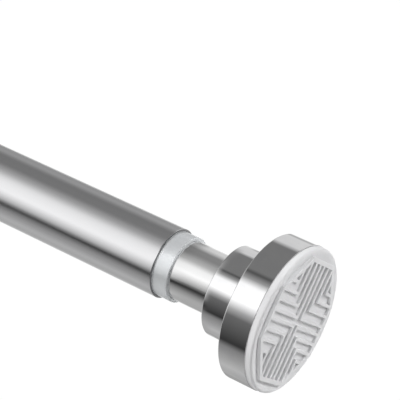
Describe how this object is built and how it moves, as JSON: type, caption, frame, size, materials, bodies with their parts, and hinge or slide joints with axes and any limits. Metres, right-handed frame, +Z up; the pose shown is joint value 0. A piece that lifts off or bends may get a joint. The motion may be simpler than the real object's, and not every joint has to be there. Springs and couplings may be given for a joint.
{
  "type": "spring tension rod",
  "caption": "Telescopic curtain rod held between two walls by a spring, with a screw thread for its length, stepped metal end caps and rubber tread pads.",
  "frame": {"origin": "centre of the left pad's wall face, on the rod's axis", "axes": "+X along the rod's axis to the right pad's wall face, +Z up"},
  "size_m": [0.45, 0.051, 0.051],
  "materials": {
    "tube_steel": "satin polished stainless steel, drawn lengthwise",
    "cap_metal": "mirror polished plating",
    "collar_plastic": "milky, slightly see-through moulded plastic",
    "pad_rubber": "soft white rubber, matt",
    "core_plastic": "moulded black plastic",
    "guide_plastic": "natural moulded plastic",
    "zinc_steel": "bright zinc plated steel",
    "spring_steel": "oiled spring steel"
  },
  "bodies": {
    "left_end": {"left_pad": "pad_rubber", "left_cap_shell": "cap_metal", "left_cap_core": "core_plastic", "left_cap_screw": "zinc_steel", "left_cap_washer": "zinc_steel", "left_tube_plug": "core_plastic", "plunger_tube": "tube_steel", "plunger_foot": "guide_plastic", "spring": "spring_steel"},
    "spring_washer": {"spring_seat": "zinc_steel"},
    "outer": {"outer_tube": "tube_steel", "left_collar": "collar_plastic", "right_collar": "collar_plastic", "anchor_plug": "core_plastic", "anchor_pin": "zinc_steel", "lead_screw": "zinc_steel", "end_stop": "guide_plastic", "stop_pin": "zinc_steel"},
    "guide": {"guide_ring": "guide_plastic"},
    "right_end": {"inner_tube": "tube_steel", "drive_nut": "guide_plastic", "right_tube_plug": "core_plastic", "right_cap_shell": "cap_metal", "right_cap_core": "core_plastic", "right_cap_screw": "zinc_steel", "right_cap_washer": "zinc_steel", "right_pad": "pad_rubber"}
  },
  "joints": [
    {"name": "spring_slide", "type": "slide", "parent": "left_end", "child": "spring_washer", "axis": [-1, 0, 0], "range_m": [0, 0.015], "stiffness_N_per_m": 3000, "springref_m": -0.01, "deforming": ["spring"]},
    {"name": "tube_spin", "type": "hinge", "parent": "spring_washer", "child": "outer", "pos_m": [0.1, 0, 0], "axis": [1, 0, 0], "continuous": true},
    {"name": "extend", "type": "slide", "parent": "outer", "child": "guide", "axis": [1, 0, 0], "range_m": [0, 0.19]},
    {"name": "screw_turn", "type": "hinge", "parent": "guide", "child": "right_end", "pos_m": [0.14, 0, 0], "axis": [1, 0, 0], "range_deg": [0, 13680]}
  ],
  "couplings": [
    {"joint": "extend", "follows": "screw_turn", "m_per_rad": 0.00079577}
  ]
}
